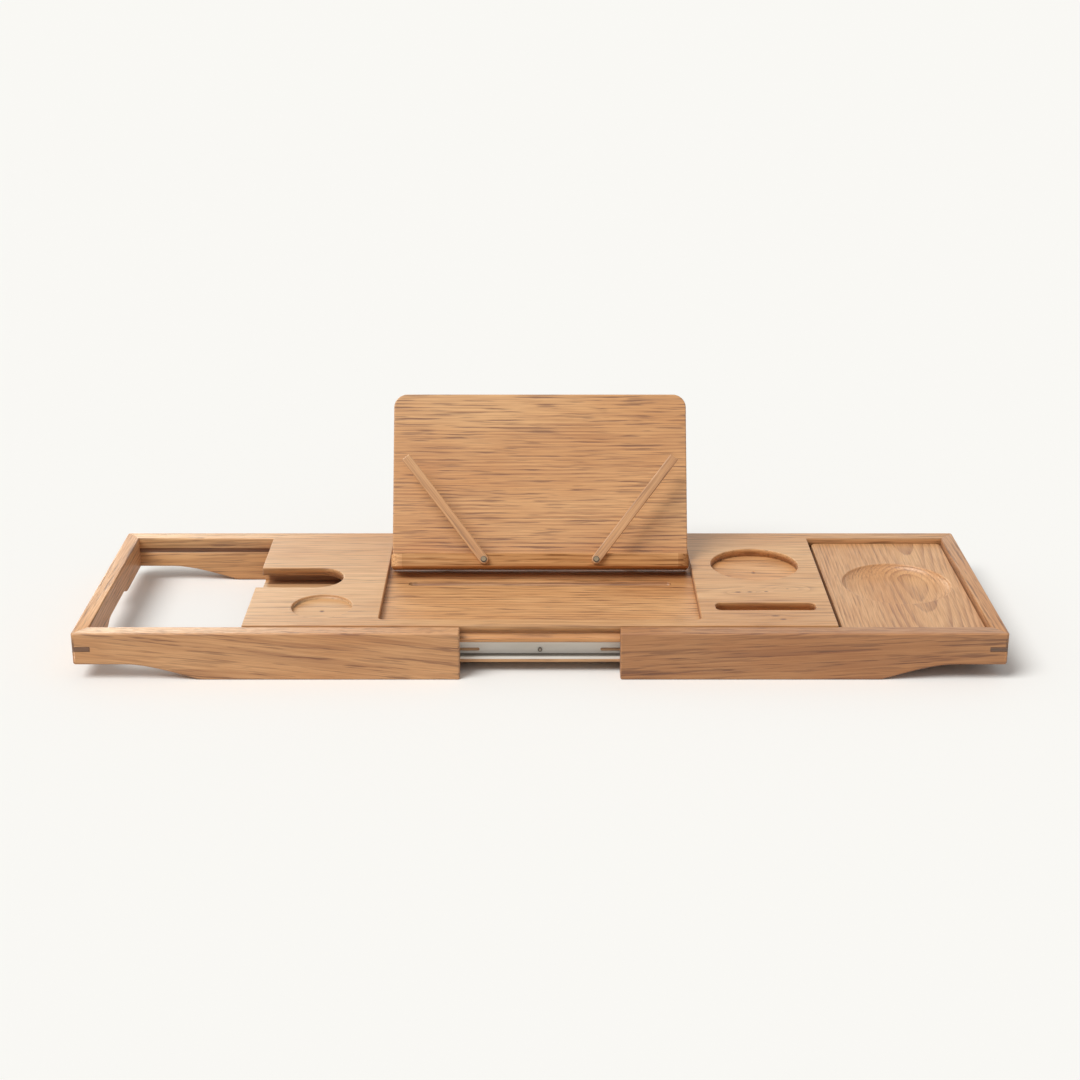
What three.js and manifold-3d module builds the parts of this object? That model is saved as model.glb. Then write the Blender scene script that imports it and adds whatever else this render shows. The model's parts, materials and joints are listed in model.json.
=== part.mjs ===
// An extending wooden bath caddy: a middle tray, two sliding end frames on metal runners,
// a lift-out soap plate, and a folding reading stand with two swinging page arms.
// Millimetres, +Z up, X along the caddy, -Y towards the bather. The origin is on the ground
// under the middle of the caddy. The caddy is drawn part open, with the stand up.
import * as THREE from 'three';
import { mergeVertices } from 'three/addons/utils/BufferGeometryUtils.js';
import Module from 'manifold-3d';

const wasm = await Module();
wasm.setup();

// Driving dimensions of the end frames
const frameDepth = 270;
const railLength = 360;
const railThickness = 17;
const railHeight = 46.7;
const endBarThickness = 14.5;
const frameCorner = 3;
const pullOut = 75;

// Clearances
const seatGap = 0.3;
const slideGap = 0.4;
const overrun = 2;

// Cut under the frame ends, where the caddy sits on the bath rim
const rimHeight = 15.3;
const rimLength = 49;
const rimSweep = 68;
const rimFootShare = 0.06;
const rimShoulderShare = 0.63;
const fingerRise = 5.5;
const fingerHalf = 30;
const fingerSweep = 22;

// Keys let into the mitred corners
const keyLeg = 17;
const keyHeight = 4.4;
const keyLow = 28.6;

// Guide groove along the inside of every rail, and the tongue that runs in it
const grooveLow = 30.4;
const grooveHeight = 5.6;
const grooveDepth = 4;
const tongueReach = 3.5;
const tongueHeight = 3.2;

// Middle tray
const trayLength = 558;
const trayRise = 1;
const topThickness = 8;
const coreThickness = 11;
const shelfThickness = 6;
const shelfLength = 105;
const shelfScrewInset = 12;
const apronThickness = 12;
const apronFootHeight = 3.2;

// Stemmed-glass slot at the tray's left end, and the space under it for the foot
const slotWidth = 52;
const slotLength = 84;
const slotY = 4.5;
const footWidth = 80;
const footLength = 96;

// Round and long recesses in the tray
const beakerRadius = 29;
const beakerDepth = 4.5;
const beakerX = -208.7;
const beakerFromMiddle = -0.5;
const cupRadius = 44;
const cupX = 216.5;
const cupFromBack = 77.1;
const centreMarkRadius = 1.2;
const centreMarkDepth = 1.5;
const phoneLength = 96;
const phoneWidth = 18.5;
const phoneDepth = 14;
const phoneCorner = 6;
const phoneX = 216;
const phoneFromFront = 47.2;

// Well for the stand, and the tablet groove in its floor
const wellWidth = 304.5;
const wellFromFront = 15;
const wellFromBack = 9.6;
const wellCorner = 5;
const tabletLength = 261;
const tabletWidth = 9;
const tabletDepth = 4;
const tabletFromFoot = 36.7;

// Steel channel on each side of the tray, with lips that hold the runner in
const channelLength = 556;
const channelHeight = 17.2;
const channelReach = 10.1;
const channelWall = 1.2;
const channelLip = 2.1;
const channelSlotLength = 60;
const channelSlotHeight = 3.4;
const channelSlotRise = 6.1;
const channelSlotStart = 57;

// Steel runner on the inside of each rail
const runnerLength = 190;
const runnerStart = 10;
const runnerPlate = 3.8;
const runnerNeck = 11;
const runnerScrewInset = 30;

// Soap plate and the strips that carry it
const plateGap = 5;
const plateEndGap = 1.5;
const plateDrop = 5.5;
const plateThickness = 14.5;
const plateCorner = 6;
const dishRadius = 53.5;
const dishDepth = 9;
const dishX = 354.5;
const dishY = 5;
const dishFlatShare = 0.62;
const dishWallShare = 0.62;
const stripReach = 4;
const stripInset = 6;

// Reading stand
const standTilt = THREE.MathUtils.degToRad(28);
const footFromHinge = 50.2;
const panelWidth = 298;
const panelHeight = 180;
const panelThickness = 8;
const panelCorner = 13.5;
const ledgeDepth = 23.7;
const ledgeHeight = 13.5;
const ledgeCorner = 10;
const ledgeScrewSpan = 110;

// Prop behind the panel
const hingeFromBack = 23.5;
const hingeRise = 3.2;
const hingeAlongPanel = 100;
const hingeBehindPanel = 3;
const legX = 95;
const legWidth = 10;
const legThickness = 5;
const crossbarHeight = 12;
const cheekWidth = 6;
const cheekDepth = 10;
const cheekHeight = 5.7;
const hingePinRadius = 1.5;
const lugFoot = 4;
const lugFootThickness = 1.2;

// Page arms
const armX = 56;
const armReach = 130;
const armWidth = 9.2;
const armThickness = 5;
const armLean = THREE.MathUtils.degToRad(37.3);
const washerRadius = 3.1;
const washerThickness = 0.6;

// Screws: head radius, head height, shank radius and whole length
const woodScrew = { head: 3, headHeight: 1.6, shank: 1.6, length: 22 };
const shelfScrew = { head: 3, headHeight: 1.6, shank: 1.6, length: 12 };
const channelScrew = { head: 2.2, headHeight: 1, shank: 1.4, length: 9 };
const runnerScrew = { head: 3, headHeight: 1.6, shank: 1.6, length: 17 };
const armScrew = { head: 2.4, headHeight: 1.4, shank: 1.6, length: 19 };

const screwSides = 10;
const curveSteps = 14;
const cornerSteps = 7;
const markSteps = 5;
const recessSteps = 30;
const dishSteps = 64;

// Places that follow from the sizes above
const outerEnd = pullOut + railLength;
const innerEnd = outerEnd - endBarThickness;
const halfDepth = frameDepth / 2;
const railInside = halfDepth - railThickness;
const trayHalfLength = trayLength / 2;
const trayHalfDepth = railInside - slideGap;
const wellFront = -trayHalfDepth + wellFromFront;
const wellBack = trayHalfDepth - wellFromBack;
const beakerY = (slotY - slotWidth / 2 - trayHalfDepth) / 2 + beakerFromMiddle;
const cupY = trayHalfDepth - cupFromBack;
const phoneY = -trayHalfDepth + phoneFromFront;
const hingeY = trayHalfDepth - hingeFromBack;
const footY = hingeY - footFromHinge;
const tabletY = footY - tabletFromFoot;
const trayTop = railHeight + trayRise;
const topLow = trayTop - topThickness;
const coreLow = topLow - coreThickness;
const shelfLow = coreLow - shelfThickness;
const tongueHigh = grooveLow + grooveHeight - slideGap;
const tongueLow = tongueHigh - tongueHeight;
const channelHigh = grooveLow;
const channelLow = channelHigh - channelHeight;
const apronLow = channelLow - apronFootHeight;
const channelOuter = trayHalfDepth - slideGap * 2;
const channelBack = channelOuter - channelReach;
const channelMiddle = (channelLow + channelHigh) / 2;
const channelSlotMiddle = channelLow + channelSlotRise;
const runnerPlateOuter = channelOuter - channelWall - slideGap;
const runnerPlateInner = runnerPlateOuter - runnerPlate;
const plateTop = railHeight - plateDrop;
const plateStart = trayHalfLength + plateGap;
const plateEnd = innerEnd - plateEndGap;
const stripLow = grooveLow + seatGap;
const stripHigh = grooveLow + grooveHeight - seatGap;
const ledgeFront = panelThickness + seatGap + ledgeDepth;
const footHeight = topLow + seatGap;
const hingeHeight = topLow + hingeRise;
const panelHingeY = footY + hingeAlongPanel * Math.sin(standTilt) + hingeBehindPanel * Math.cos(standTilt);
const panelHingeZ =
  footHeight + hingeAlongPanel * Math.cos(standTilt) - hingeBehindPanel * Math.sin(standTilt);
const propLength = Math.hypot(panelHingeY - hingeY, panelHingeZ - hingeHeight);
const propLean = Math.atan2(panelHingeY - hingeY, panelHingeZ - hingeHeight);

const oak = new THREE.MeshStandardMaterial({ color: 0xc4935f, roughness: 0.6, metalness: 0 });
const darkOak = new THREE.MeshStandardMaterial({ color: 0x8f6644, roughness: 0.6, metalness: 0 });
const steel = new THREE.MeshStandardMaterial({ color: 0xb9b8b2, roughness: 0.35, metalness: 1 });
const brass = new THREE.MeshStandardMaterial({ color: 0x8a7a62, roughness: 0.4, metalness: 1 });

// Turning three.js geometry into solids that can be cut, and back
function toSolid(geometry) {
  const bare = geometry.clone();
  bare.deleteAttribute('normal');
  bare.deleteAttribute('uv');
  const merged = mergeVertices(bare);
  return new wasm.Manifold(new wasm.Mesh({
    numProp: 3,
    vertProperties: new Float32Array(merged.attributes.position.array),
    triVerts: new Uint32Array(merged.index.array),
  }));
}

function toGeometry(solid) {
  const mesh = solid.getMesh();
  const geometry = new THREE.BufferGeometry();
  geometry.setAttribute('position', new THREE.BufferAttribute(new Float32Array(mesh.vertProperties), 3));
  geometry.setIndex(new THREE.BufferAttribute(new Uint32Array(mesh.triVerts), 1));
  geometry.computeVertexNormals();
  return geometry;
}

function cut(geometry, ...tools) {
  return toGeometry(tools.reduce((body, tool) => body.subtract(toSolid(tool)), toSolid(geometry)));
}

function join(...geometries) {
  return toGeometry(geometries.map(toSolid).reduce((body, other) => body.add(other)));
}

// The same shape as one body with shared vertices
function welded(geometry) {
  return toGeometry(toSolid(geometry));
}

function common(first, second) {
  return toGeometry(toSolid(first).intersect(toSolid(second)));
}

// A mirror image about the YZ plane (alongX -1) or the XZ plane (alongY -1)
function mirrored(geometry, alongX, alongY) {
  const copy = welded(geometry).applyMatrix4(new THREE.Matrix4().makeScale(alongX, alongY, 1));
  if (alongX * alongY < 0) {
    copy.setIndex(Array.from(copy.index.array).reverse());
  }
  copy.computeVertexNormals();
  return copy;
}

// Building blocks: a box between limits, and outlines drawn from above, from the front and from the end
function block(x, y, z) {
  const box = new THREE.BoxGeometry(x[1] - x[0], y[1] - y[0], z[1] - z[0]);
  return box.translate((x[0] + x[1]) / 2, (y[0] + y[1]) / 2, (z[0] + z[1]) / 2);
}

function extrude(outline, depth, steps) {
  return new THREE.ExtrudeGeometry(outline, { depth, bevelEnabled: false, curveSegments: steps });
}

function fromAbove(outline, low, high, steps = curveSteps) {
  return extrude(outline, high - low, steps).translate(0, 0, low);
}

function fromFront(outline, near, far, steps = curveSteps) {
  return extrude(outline, far - near, steps).rotateX(Math.PI / 2).translate(0, far, 0);
}

function fromEnd(outline, left, right, steps = curveSteps) {
  const turn = new THREE.Matrix4().makeBasis(
    new THREE.Vector3(0, 1, 0), new THREE.Vector3(0, 0, 1), new THREE.Vector3(1, 0, 0));
  return extrude(outline, right - left, steps).applyMatrix4(turn).translate(left, 0, 0);
}

function polygon(points) {
  return new THREE.Shape(points.map(([x, y]) => new THREE.Vector2(x, y)));
}

function roundedRectangle(left, right, low, high, radius) {
  const outline = new THREE.Shape();
  outline.moveTo(left + radius, low);
  outline.lineTo(right - radius, low);
  outline.absarc(right - radius, low + radius, radius, -Math.PI / 2, 0);
  outline.lineTo(right, high - radius);
  outline.absarc(right - radius, high - radius, radius, 0, Math.PI / 2);
  outline.lineTo(left + radius, high);
  outline.absarc(left + radius, high - radius, radius, Math.PI / 2, Math.PI);
  outline.lineTo(left, low + radius);
  outline.absarc(left + radius, low + radius, radius, Math.PI, Math.PI * 1.5);
  return outline;
}

function disc(radius, x, y) {
  const outline = new THREE.Shape();
  outline.absarc(x, y, radius, 0, Math.PI * 2);
  return outline;
}

// A round rod along X, with its middle at y, z
function rod(radius, left, right, y, z) {
  return new THREE.CylinderGeometry(radius, radius, right - left, screwSides)
    .rotateZ(Math.PI / 2).translate((left + right) / 2, y, z);
}

// A screw with its head at the start and its shank along the direction, and the hole that takes it
function screwShape(size, gap, open) {
  const profile = [
    [0, -open],
    [size.head + gap, -open],
    [size.head + gap, size.headHeight + gap],
    [size.shank + gap, size.headHeight + gap],
    [size.shank + gap, size.length + gap],
    [0, size.length + gap],
  ];
  return new THREE.LatheGeometry(profile.map(([r, along]) => new THREE.Vector2(r, along)), screwSides);
}

function aimed(geometry, direction, x, y, z) {
  const turn = new THREE.Quaternion().setFromUnitVectors(new THREE.Vector3(0, 1, 0), direction);
  return geometry.applyQuaternion(turn).translate(x, y, z);
}

const up = new THREE.Vector3(0, 0, 1);
const backward = new THREE.Vector3(0, 1, 0);
const forward = new THREE.Vector3(0, -1, 0);

function screw(size, direction, place) {
  return aimed(screwShape(size, 0, 0), direction, ...place);
}

function screwHole(size, direction, place) {
  return aimed(screwShape(size, seatGap, overrun), direction, ...place);
}

const part = new THREE.Group();

function add(group, name, geometry, material) {
  const mesh = new THREE.Mesh(geometry, material);
  mesh.name = name;
  group.add(mesh);
  return mesh;
}

// End frames. Each piece is drawn for the right and back, then mirrored.
const runnerLeft = pullOut + runnerStart;
const runnerScrewPlaces = [runnerLeft + runnerScrewInset, runnerLeft + runnerLength - runnerScrewInset]
  .map((x) => [x, runnerPlateInner, channelMiddle]);

function frameOutline() {
  const outline = roundedRectangle(-outerEnd, outerEnd, -halfDepth, halfDepth, frameCorner);
  return fromAbove(outline, 0, railHeight, cornerSteps);
}

function keyPlan(gap) {
  return polygon([
    [outerEnd + gap, halfDepth + gap],
    [outerEnd - keyLeg - gap * 2, halfDepth + gap],
    [outerEnd + gap, halfDepth - keyLeg - gap * 2],
  ]);
}

function keyCut() {
  return fromAbove(keyPlan(seatGap), keyLow - seatGap, keyLow + keyHeight + seatGap);
}

function railGeometry() {
  const plan = polygon([
    [pullOut, railInside], [innerEnd, railInside], [outerEnd, halfDepth], [pullOut, halfDepth],
  ]);
  const face = new THREE.Shape();
  const sweepStart = outerEnd - rimLength;
  const sweepEnd = sweepStart - rimSweep;
  face.moveTo(pullOut, 0);
  face.lineTo(sweepEnd, 0);
  face.bezierCurveTo(
    sweepEnd + rimSweep * rimFootShare, 0, sweepEnd + rimSweep * rimShoulderShare, rimHeight,
    sweepStart, rimHeight);
  face.lineTo(outerEnd, rimHeight);
  face.lineTo(outerEnd, railHeight);
  face.lineTo(pullOut, railHeight);
  const board = common(fromAbove(plan, 0, railHeight), fromFront(face, railInside, halfDepth));
  const body = common(board, frameOutline());
  const groove = block(
    [pullOut - overrun, innerEnd + overrun],
    [railInside - overrun, railInside + grooveDepth],
    [grooveLow, grooveLow + grooveHeight]);
  const holes = runnerScrewPlaces.map((place) => screwHole(runnerScrew, backward, place));
  return cut(body, groove, keyCut(), ...holes);
}

function endBarGeometry() {
  const inside = railInside - seatGap;
  const outside = halfDepth - seatGap;
  const plan = polygon([
    [innerEnd, -inside], [outerEnd, -outside], [outerEnd, outside], [innerEnd, inside],
  ]);
  const arch = rimHeight + fingerRise;
  const side = new THREE.Shape();
  side.moveTo(-halfDepth, rimHeight);
  side.lineTo(-fingerHalf - fingerSweep, rimHeight);
  side.bezierCurveTo(
    -fingerHalf - fingerSweep / 2, rimHeight, -fingerHalf - fingerSweep / 2, arch, -fingerHalf, arch);
  side.lineTo(fingerHalf, arch);
  side.bezierCurveTo(
    fingerHalf + fingerSweep / 2, arch, fingerHalf + fingerSweep / 2, rimHeight,
    fingerHalf + fingerSweep, rimHeight);
  side.lineTo(halfDepth, rimHeight);
  side.lineTo(halfDepth, railHeight);
  side.lineTo(-halfDepth, railHeight);
  const board = common(fromAbove(plan, 0, railHeight), fromEnd(side, innerEnd, outerEnd));
  const body = common(board, frameOutline());
  return cut(body, keyCut(), mirrored(keyCut(), 1, -1));
}

// The runner's section is a T: a plate behind the channel's lips and a neck out to the rail
function runnerGeometry() {
  const plateHalf = channelHeight / 2 - channelWall - slideGap;
  const section = polygon([
    [runnerPlateInner, channelMiddle - plateHalf],
    [runnerPlateOuter, channelMiddle - plateHalf],
    [runnerPlateOuter, channelMiddle - runnerNeck / 2],
    [railInside, channelMiddle - runnerNeck / 2],
    [railInside, channelMiddle + runnerNeck / 2],
    [runnerPlateOuter, channelMiddle + runnerNeck / 2],
    [runnerPlateOuter, channelMiddle + plateHalf],
    [runnerPlateInner, channelMiddle + plateHalf],
  ]);
  const holes = runnerScrewPlaces.map((place) => screwHole(runnerScrew, backward, place));
  return cut(fromEnd(section, runnerLeft, runnerLeft + runnerLength), ...holes);
}

function addEndFrame(side, word) {
  const frame = new THREE.Group();
  add(frame, `${word}_back_rail`, mirrored(railGeometry(), side, 1), oak);
  add(frame, `${word}_front_rail`, mirrored(railGeometry(), side, -1), oak);
  add(frame, `${word}_end_bar`, mirrored(endBarGeometry(), side, 1), oak);
  const key = common(fromAbove(keyPlan(0), keyLow, keyLow + keyHeight), frameOutline());
  add(frame, `${word}_back_key`, mirrored(key, side, 1), darkOak);
  add(frame, `${word}_front_key`, mirrored(key, side, -1), darkOak);
  add(frame, `${word}_back_runner`, mirrored(runnerGeometry(), side, 1), steel);
  add(frame, `${word}_front_runner`, mirrored(runnerGeometry(), side, -1), steel);
  runnerScrewPlaces.forEach((place, index) => {
    const fastener = screw(runnerScrew, backward, place);
    add(frame, `${word}_back_runner_screw_${index + 1}`, mirrored(fastener, side, 1), steel);
    add(frame, `${word}_front_runner_screw_${index + 1}`, mirrored(fastener, side, -1), steel);
  });
  return frame;
}

part.add(addEndFrame(-1, 'left'));
const rightFrame = addEndFrame(1, 'right');
part.add(rightFrame);

// Strips in the right rails' grooves carry the soap plate by its rebated edges
const stripGeometry = block(
  [plateStart + stripInset, plateEnd - stripInset],
  [railInside - stripReach, railInside + grooveDepth - seatGap],
  [stripLow, stripHigh]);
add(rightFrame, 'back_plate_strip', stripGeometry, oak);
add(rightFrame, 'front_plate_strip', mirrored(stripGeometry, 1, -1), oak);

function soapPlateGeometry() {
  const flangeHalf = railInside - slideGap;
  const bodyHalf = railInside - stripReach - slideGap;
  const flange = fromAbove(
    roundedRectangle(plateStart, plateEnd, -flangeHalf, flangeHalf, plateCorner),
    stripHigh + seatGap, plateTop, cornerSteps);
  const body = fromAbove(
    roundedRectangle(plateStart, plateEnd, -bodyHalf, bodyHalf, plateCorner),
    plateTop - plateThickness, plateTop, cornerSteps);
  const flat = dishRadius * dishFlatShare;
  const wall = new THREE.CubicBezierCurve(
    new THREE.Vector2(flat, -dishDepth),
    new THREE.Vector2((flat + dishRadius) / 2, -dishDepth),
    new THREE.Vector2(dishRadius, -dishDepth * dishWallShare),
    new THREE.Vector2(dishRadius, 0));
  const profile = [
    new THREE.Vector2(0, -dishDepth), ...wall.getPoints(cornerSteps),
    new THREE.Vector2(dishRadius, overrun), new THREE.Vector2(0, overrun),
  ];
  const dish = new THREE.LatheGeometry(profile, dishSteps).rotateX(Math.PI / 2)
    .translate(dishX, dishY, plateTop);
  return cut(join(flange, body), dish);
}

add(part, 'soap_plate', soapPlateGeometry(), oak);

// Middle tray: a top board with openings, a core board that is their floor, and aprons below
function glassSlot() {
  const outline = new THREE.Shape();
  const radius = slotWidth / 2;
  const turnX = -trayHalfLength + slotLength - radius;
  outline.moveTo(-trayHalfLength - overrun, slotY - radius);
  outline.lineTo(turnX, slotY - radius);
  outline.absarc(turnX, slotY, radius, -Math.PI / 2, Math.PI / 2);
  outline.lineTo(-trayHalfLength - overrun, slotY + radius);
  return outline;
}

function phoneSlot(low, high) {
  const outline = roundedRectangle(
    phoneX - phoneLength / 2, phoneX + phoneLength / 2,
    phoneY - phoneWidth / 2, phoneY + phoneWidth / 2, phoneCorner);
  return fromAbove(outline, low, high, cornerSteps);
}

function centreMark(x, y, floor) {
  return fromAbove(disc(centreMarkRadius, x, y), floor - centreMarkDepth, floor + overrun, markSteps);
}

function topBoardGeometry() {
  const board = block(
    [-trayHalfLength, trayHalfLength], [-trayHalfDepth, trayHalfDepth], [topLow, trayTop]);
  const through = [topLow - overrun, trayTop + overrun];
  const well = roundedRectangle(-wellWidth / 2, wellWidth / 2, wellFront, wellBack, wellCorner);
  const beakerFloor = trayTop - beakerDepth;
  return cut(
    board,
    fromAbove(glassSlot(), ...through),
    fromAbove(well, ...through, cornerSteps),
    fromAbove(disc(cupRadius, cupX, cupY), ...through, recessSteps),
    phoneSlot(...through),
    fromAbove(disc(beakerRadius, beakerX, beakerY), beakerFloor, trayTop + overrun, recessSteps),
    centreMark(beakerX, beakerY, beakerFloor));
}

const shelfScrewPlaces = [];
for (const x of [-trayHalfLength + shelfScrewInset, -trayHalfLength + shelfLength - shelfScrewInset]) {
  for (const y of [slotY - footWidth / 2 - shelfScrewInset, slotY + footWidth / 2 + shelfScrewInset]) {
    shelfScrewPlaces.push([x, y, shelfLow]);
  }
}

const channelScrewY = channelBack + channelWall + channelScrew.headHeight + seatGap;
const channelScrewPlace = [0, channelScrewY, channelSlotMiddle];

function coreBoardGeometry() {
  const section = polygon([
    [-channelBack, coreLow], [channelBack, coreLow],
    [channelBack, tongueLow], [trayHalfDepth + tongueReach, tongueLow],
    [trayHalfDepth + tongueReach, tongueHigh], [trayHalfDepth, tongueHigh],
    [trayHalfDepth, topLow], [-trayHalfDepth, topLow],
    [-trayHalfDepth, tongueHigh], [-trayHalfDepth - tongueReach, tongueHigh],
    [-trayHalfDepth - tongueReach, tongueLow], [-channelBack, tongueLow],
  ]);
  const footSpace = block(
    [-trayHalfLength - overrun, -trayHalfLength + footLength],
    [slotY - footWidth / 2, slotY + footWidth / 2],
    [coreLow - overrun, topLow + overrun]);
  const tablet = roundedRectangle(
    -tabletLength / 2, tabletLength / 2, tabletY - tabletWidth / 2, tabletY + tabletWidth / 2,
    tabletWidth / 2 - seatGap);
  return cut(
    fromEnd(section, -trayHalfLength, trayHalfLength),
    footSpace,
    fromAbove(tablet, topLow - tabletDepth, topLow + overrun, cornerSteps),
    phoneSlot(trayTop - phoneDepth, topLow + overrun),
    centreMark(cupX, cupY, topLow),
    ...shelfScrewPlaces.map((place) => screwHole(shelfScrew, up, place)));
}

function apronGeometry() {
  const board = block(
    [-trayHalfLength, trayHalfLength], [channelBack - apronThickness, channelBack], [apronLow, coreLow]);
  const foot = block(
    [-trayHalfLength, trayHalfLength], [channelBack - overrun, channelOuter], [apronLow, channelLow]);
  return cut(join(board, foot), screwHole(channelScrew, forward, channelScrewPlace));
}

function channelGeometry() {
  const web = channelBack + channelWall;
  const lip = channelOuter - channelWall;
  const section = polygon([
    [channelBack, channelLow], [channelOuter, channelLow],
    [channelOuter, channelLow + channelLip], [lip, channelLow + channelLip],
    [lip, channelLow + channelWall], [web, channelLow + channelWall],
    [web, channelHigh - channelWall], [lip, channelHigh - channelWall],
    [lip, channelHigh - channelLip], [channelOuter, channelHigh - channelLip],
    [channelOuter, channelHigh], [channelBack, channelHigh],
  ]);
  const slot = roundedRectangle(
    channelSlotStart, channelSlotStart + channelSlotLength,
    channelSlotMiddle - channelSlotHeight / 2, channelSlotMiddle + channelSlotHeight / 2,
    channelSlotHeight / 2 - seatGap);
  const slotCut = fromFront(slot, channelBack - overrun, web + overrun, markSteps);
  return cut(
    fromEnd(section, -channelLength / 2, channelLength / 2),
    slotCut,
    mirrored(slotCut, -1, 1),
    screwHole(channelScrew, forward, channelScrewPlace));
}

const tray = new THREE.Group();
part.add(tray);
add(tray, 'tray_top_board', topBoardGeometry(), oak);
add(tray, 'tray_core_board', coreBoardGeometry(), oak);
const shelfHoles = shelfScrewPlaces.map((place) => screwHole(shelfScrew, up, place));
add(tray, 'glass_shelf', cut(block(
  [-trayHalfLength, -trayHalfLength + shelfLength],
  [-channelBack + apronThickness, channelBack - apronThickness],
  [shelfLow, coreLow]), ...shelfHoles), oak);
shelfScrewPlaces.forEach((place, index) => {
  add(tray, `shelf_screw_${index + 1}`, screw(shelfScrew, up, place), brass);
});
const apron = apronGeometry();
add(tray, 'back_apron', apron, oak);
add(tray, 'front_apron', mirrored(apron, 1, -1), oak);
const channel = channelGeometry();
add(tray, 'back_channel', channel, steel);
add(tray, 'front_channel', mirrored(channel, 1, -1), steel);
const channelFastener = screw(channelScrew, forward, channelScrewPlace);
add(tray, 'back_channel_screw', channelFastener, steel);
add(tray, 'front_channel_screw', mirrored(channelFastener, 1, -1), steel);

// A floor hinge: a cheek each side of one prop leg, and a stop behind it that joins them
const cheekInner = legWidth / 2 + seatGap;
const pinHalf = cheekInner + cheekWidth;

function floorHingeGeometry(x) {
  const span = [x - pinHalf, x + pinHalf];
  const body = block(
    span, [hingeY - cheekDepth / 2, hingeY + cheekDepth / 2], [topLow, topLow + cheekHeight]);
  const opening = block(
    [x - cheekInner, x + cheekInner],
    [hingeY - cheekDepth / 2 - overrun, hingeY + legThickness / 2 + seatGap],
    [topLow - overrun, topLow + cheekHeight + overrun]);
  const bore = rod(
    hingePinRadius + seatGap / 2, span[0] - overrun, span[1] + overrun, hingeY, hingeHeight);
  return cut(body, opening, bore);
}

for (const [word, x] of [['left', -legX], ['right', legX]]) {
  add(tray, `${word}_floor_hinge`, floorHingeGeometry(x), darkOak);
  add(tray, `${word}_floor_hinge_pin`,
    rod(hingePinRadius, x - pinHalf, x + pinHalf, hingeY, hingeHeight), steel);
}

// Prop: two legs and a crossbar, turning on the floor hinges
const prop = new THREE.Group();
prop.position.set(0, hingeY, hingeHeight);
prop.rotation.x = -propLean;
part.add(prop);

function legGeometry(x) {
  const radius = legThickness / 2;
  const side = new THREE.Shape();
  side.absarc(0, 0, radius, Math.PI, Math.PI * 2);
  side.absarc(0, propLength, radius, 0, Math.PI);
  const span = [x - legWidth / 2, x + legWidth / 2];
  const holeRadius = hingePinRadius + seatGap / 2;
  return cut(
    fromEnd(side, ...span, cornerSteps),
    rod(holeRadius, span[0] - overrun, span[1] + overrun, 0, 0),
    rod(holeRadius, span[0] - overrun, span[1] + overrun, 0, propLength));
}

add(prop, 'left_prop_leg', legGeometry(-legX), oak);
add(prop, 'right_prop_leg', legGeometry(legX), oak);
add(prop, 'prop_crossbar', block(
  [-legX + legWidth / 2, legX - legWidth / 2], [-legThickness / 2, legThickness / 2],
  [(propLength - crossbarHeight) / 2, (propLength + crossbarHeight) / 2]), oak);

// Stand: the panel's back lower edge is its own origin, +Z runs up the panel, -Y out of its face
const stand = new THREE.Group();
stand.position.set(0, footY, footHeight);
stand.rotation.x = -standTilt;
part.add(stand);

const ledgeScrewPlaces = [-ledgeScrewSpan, 0, ledgeScrewSpan].map((x) => [x, 0, ledgeHeight / 2]);
const armScrewY = -ledgeFront - seatGap - armThickness - washerThickness - seatGap * 2 - armScrew.headHeight;
const armScrewPlaces = [-armX, armX].map((x) => [x, armScrewY, ledgeHeight / 2]);

function panelGeometry() {
  const outline = new THREE.Shape();
  const half = panelWidth / 2;
  outline.moveTo(-half, 0);
  outline.lineTo(half, 0);
  outline.lineTo(half, panelHeight - panelCorner);
  outline.absarc(half - panelCorner, panelHeight - panelCorner, panelCorner, 0, Math.PI / 2);
  outline.lineTo(-half + panelCorner, panelHeight);
  outline.absarc(-half + panelCorner, panelHeight - panelCorner, panelCorner, Math.PI / 2, Math.PI);
  return cut(
    fromFront(outline, -panelThickness, 0, cornerSteps),
    ...ledgeScrewPlaces.map((place) => screwHole(woodScrew, forward, place)));
}

function ledgeGeometry() {
  const outline = new THREE.Shape();
  const half = panelWidth / 2;
  const back = -panelThickness - seatGap;
  outline.moveTo(half, back);
  outline.lineTo(-half, back);
  outline.lineTo(-half, -ledgeFront + ledgeCorner);
  outline.absarc(-half + ledgeCorner, -ledgeFront + ledgeCorner, ledgeCorner, Math.PI, Math.PI * 1.5);
  outline.lineTo(half - ledgeCorner, -ledgeFront);
  outline.absarc(half - ledgeCorner, -ledgeFront + ledgeCorner, ledgeCorner, -Math.PI / 2, 0);
  return cut(
    fromAbove(outline, 0, ledgeHeight, cornerSteps),
    ...ledgeScrewPlaces.map((place) => screwHole(woodScrew, forward, place)),
    ...armScrewPlaces.map((place) => screwHole(armScrew, backward, place)));
}

add(stand, 'stand_panel', panelGeometry(), oak);
add(stand, 'stand_ledge', ledgeGeometry(), oak);
ledgeScrewPlaces.forEach((place, index) => {
  add(stand, `ledge_screw_${index + 1}`, screw(woodScrew, forward, place), brass);
});

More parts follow.
